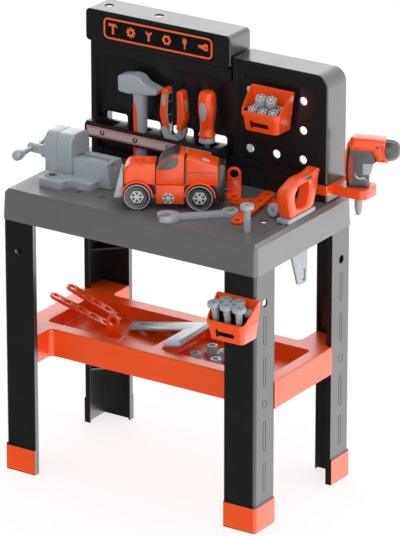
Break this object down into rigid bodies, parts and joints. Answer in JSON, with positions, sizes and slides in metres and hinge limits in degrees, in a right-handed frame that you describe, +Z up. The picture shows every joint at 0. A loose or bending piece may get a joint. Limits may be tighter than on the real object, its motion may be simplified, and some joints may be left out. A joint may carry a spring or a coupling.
{
  "type": "toy workbench",
  "caption": "Child's plastic workbench with a tool wall, storage tray, working vise, toy hand tools, a mechanical drill, hanging bins and a buildable toy truck.",
  "frame": {"origin": "on the floor, midway between the four feet", "axes": "+X to the right along the front edge, +Y towards the tool wall, +Z up"},
  "size_m": [0.6001, 0.3449, 0.7375],
  "materials": {
    "grey_top": "satin moulded mid grey",
    "black_leg": "satin moulded black",
    "black_panel": "semi gloss moulded black",
    "sign_print": "printed black panel with an orange outline",
    "label_print": "printed grey strip with an orange border",
    "steel": "zinc plated",
    "orange": "semi gloss moulded orange",
    "light_grey": "satin moulded light grey",
    "dark_plastic": "satin moulded black",
    "wheel_black": "satin black moulded wheel"
  },
  "bodies": {
    "bench": {"worktop": "grey_top", "leg_front_left": "black_leg", "leg_front_right": "black_leg", "leg_rear_left": "black_leg", "leg_rear_right": "black_leg", "foot_stickers": "orange", "lower_shelf": "orange", "left_back_panel": "black_panel", "right_peg_panel": "black_panel", "header_box": "black_panel", "header_sign": "sign_print", "tool_rack": "black_panel", "rack_label_strip": "label_print", "assembly_screws": "steel", "drill_holder": "orange", "vise_base": "light_grey"},
    "vise_jaw": {"vise_moving_jaw": "light_grey"},
    "vise_crank": {"vise_spindle": "light_grey", "vise_tommy_bar": "light_grey"},
    "hammer": {"hammer_handle": "light_grey", "hammer_head": "light_grey"},
    "pliers": {"pliers_left_half": "light_grey", "pliers_left_grip": "orange", "pliers_pin": "light_grey"},
    "pliers_right": {"pliers_right_half": "light_grey", "pliers_right_grip": "orange"},
    "screwdriver": {"screwdriver_handle": "orange", "screwdriver_shaft": "light_grey"},
    "saw": {"saw_handle": "orange", "saw_blade": "light_grey"},
    "drill": {"drill_shell": "orange", "drill_grip": "dark_plastic"},
    "drill_trigger": {"drill_trigger": "light_grey"},
    "drill_nose": {"drill_nose": "dark_plastic"},
    "spare_bit": {"spare_bit": "light_grey"},
    "wrench": {"wrench": "light_grey"},
    "strip_under": {"worktop_strip_under": "orange"},
    "strip_over": {"worktop_strip_over": "orange"},
    "standing_bolt": {"standing_bolt": "light_grey"},
    "lying_bolt": {"lying_bolt": "light_grey"},
    "upper_bin": {"upper_bin": "orange", "upper_bin_nuts": "light_grey"},
    "lower_bin": {"lower_bin": "orange", "lower_bin_bolts": "light_grey"},
    "shelf_strip_front": {"shelf_strip_front": "orange"},
    "shelf_strip_rear": {"shelf_strip_rear": "orange"},
    "shelf_bracket": {"shelf_bracket": "orange"},
    "worktop_bracket": {"worktop_bracket": "orange"},
    "set_square": {"set_square": "light_grey"},
    "shelf_nuts": {"shelf_nuts": "light_grey"},
    "truck": {"truck_hood": "orange", "truck_cab": "orange", "truck_windscreen": "dark_plastic", "truck_rear_body": "orange", "truck_side_panels": "orange", "truck_chassis": "dark_plastic", "truck_bumper": "light_grey"},
    "truck_front_axle": {"truck_front_wheels": "wheel_black"},
    "truck_rear_axle": {"truck_rear_wheels": "wheel_black"}
  },
  "joints": [
    {"name": "vise_crank", "type": "hinge", "parent": "bench", "child": "vise_crank", "pos_m": [-0.256, -0.035, 0.525], "axis": [1, 0, 0], "range_deg": [0, 1080]},
    {"name": "vise_jaw_slide", "type": "slide", "parent": "bench", "child": "vise_jaw", "axis": [1, 0, 0], "range_m": [0, 0.045]},
    {"name": "hammer_lift", "type": "slide", "parent": "bench", "child": "hammer", "axis": [0, 0, 1], "range_m": [0, 0.16]},
    {"name": "pliers_lift", "type": "slide", "parent": "bench", "child": "pliers", "axis": [0, 0, 1], "range_m": [0, 0.16]},
    {"name": "pliers_squeeze", "type": "hinge", "parent": "pliers", "child": "pliers_right", "pos_m": [-0.0465, 0.0645, 0.546], "axis": [0, -1, 0], "range_deg": [0, 7]},
    {"name": "screwdriver_lift", "type": "slide", "parent": "bench", "child": "screwdriver", "axis": [0, 0, 1], "range_m": [0, 0.15]},
    {"name": "saw_lift", "type": "slide", "parent": "bench", "child": "saw", "axis": [0, 0, 1], "range_m": [0, 0.135]},
    {"name": "drill_lift", "type": "slide", "parent": "bench", "child": "drill", "axis": [0, 0, 1], "range_m": [0, 0.06]},
    {"name": "drill_trigger_press", "type": "slide", "parent": "drill", "child": "drill_trigger", "axis": [-0.891, -0.454, 0], "range_m": [0, 0.004], "stiffness_N_per_m": 120, "springref_m": -0.003},
    {"name": "drill_nose_turn", "type": "hinge", "parent": "drill", "child": "drill_nose", "pos_m": [0.31655, 0.1387, 0.581], "axis": [0.891, 0.454, 0], "continuous": true},
    {"name": "spare_bit_pull", "type": "slide", "parent": "bench", "child": "spare_bit", "axis": [0, 0, -1], "range_m": [0, 0.045]},
    {"name": "wrench_lift", "type": "slide", "parent": "bench", "child": "wrench", "axis": [0, 0, 1], "range_m": [0, 0.1]},
    {"name": "strip_under_lift", "type": "slide", "parent": "bench", "child": "strip_under", "axis": [0, 0, 1], "range_m": [0, 0.1]},
    {"name": "strip_over_lift", "type": "slide", "parent": "strip_under", "child": "strip_over", "axis": [0, 0, 1], "range_m": [0, 0.1]},
    {"name": "standing_bolt_lift", "type": "slide", "parent": "bench", "child": "standing_bolt", "axis": [0, 0, 1], "range_m": [0, 0.06]},
    {"name": "lying_bolt_lift", "type": "slide", "parent": "bench", "child": "lying_bolt", "axis": [0, 0, 1], "range_m": [0, 0.1]},
    {"name": "upper_bin_pull", "type": "slide", "parent": "bench", "child": "upper_bin", "axis": [0, -1, 0], "range_m": [0, 0.05]},
    {"name": "lower_bin_pull", "type": "slide", "parent": "bench", "child": "lower_bin", "axis": [0, -1, 0], "range_m": [0, 0.05]},
    {"name": "shelf_strip_front_lift", "type": "slide", "parent": "bench", "child": "shelf_strip_front", "axis": [0, 0, 1], "range_m": [0, 0.1]},
    {"name": "shelf_strip_rear_lift", "type": "slide", "parent": "bench", "child": "shelf_strip_rear", "axis": [0, 0, 1], "range_m": [0, 0.1]},
    {"name": "shelf_bracket_lift", "type": "slide", "parent": "bench", "child": "shelf_bracket", "axis": [0, 0, 1], "range_m": [0, 0.08]},
    {"name": "worktop_bracket_lift", "type": "slide", "parent": "bench", "child": "worktop_bracket", "axis": [0, 0, 1], "range_m": [0, 0.1]},
    {"name": "set_square_lift", "type": "slide", "parent": "bench", "child": "set_square", "axis": [0, 0, 1], "range_m": [0, 0.1]},
    {"name": "shelf_nuts_lift", "type": "slide", "parent": "bench", "child": "shelf_nuts", "axis": [0, 0, 1], "range_m": [0, 0.02]},
    {"name": "truck_lift", "type": "slide", "parent": "bench", "child": "truck", "axis": [0, 0, 1], "range_m": [0, 0.15]},
    {"name": "truck_front_axle_turn", "type": "hinge", "parent": "truck", "child": "truck_front_axle", "pos_m": [-0.0186, -0.08307, 0.5123], "axis": [-0.4894, 0.8721, 0], "continuous": true},
    {"name": "truck_rear_axle_turn", "type": "hinge", "parent": "truck", "child": "truck_rear_axle", "pos_m": [0.0686, -0.03413, 0.5123], "axis": [-0.4894, 0.8721, 0], "continuous": true}
  ],
  "couplings": [
    {"joint": "vise_jaw_slide", "follows": "vise_crank", "m_per_rad": 0.0023873}
  ]
}
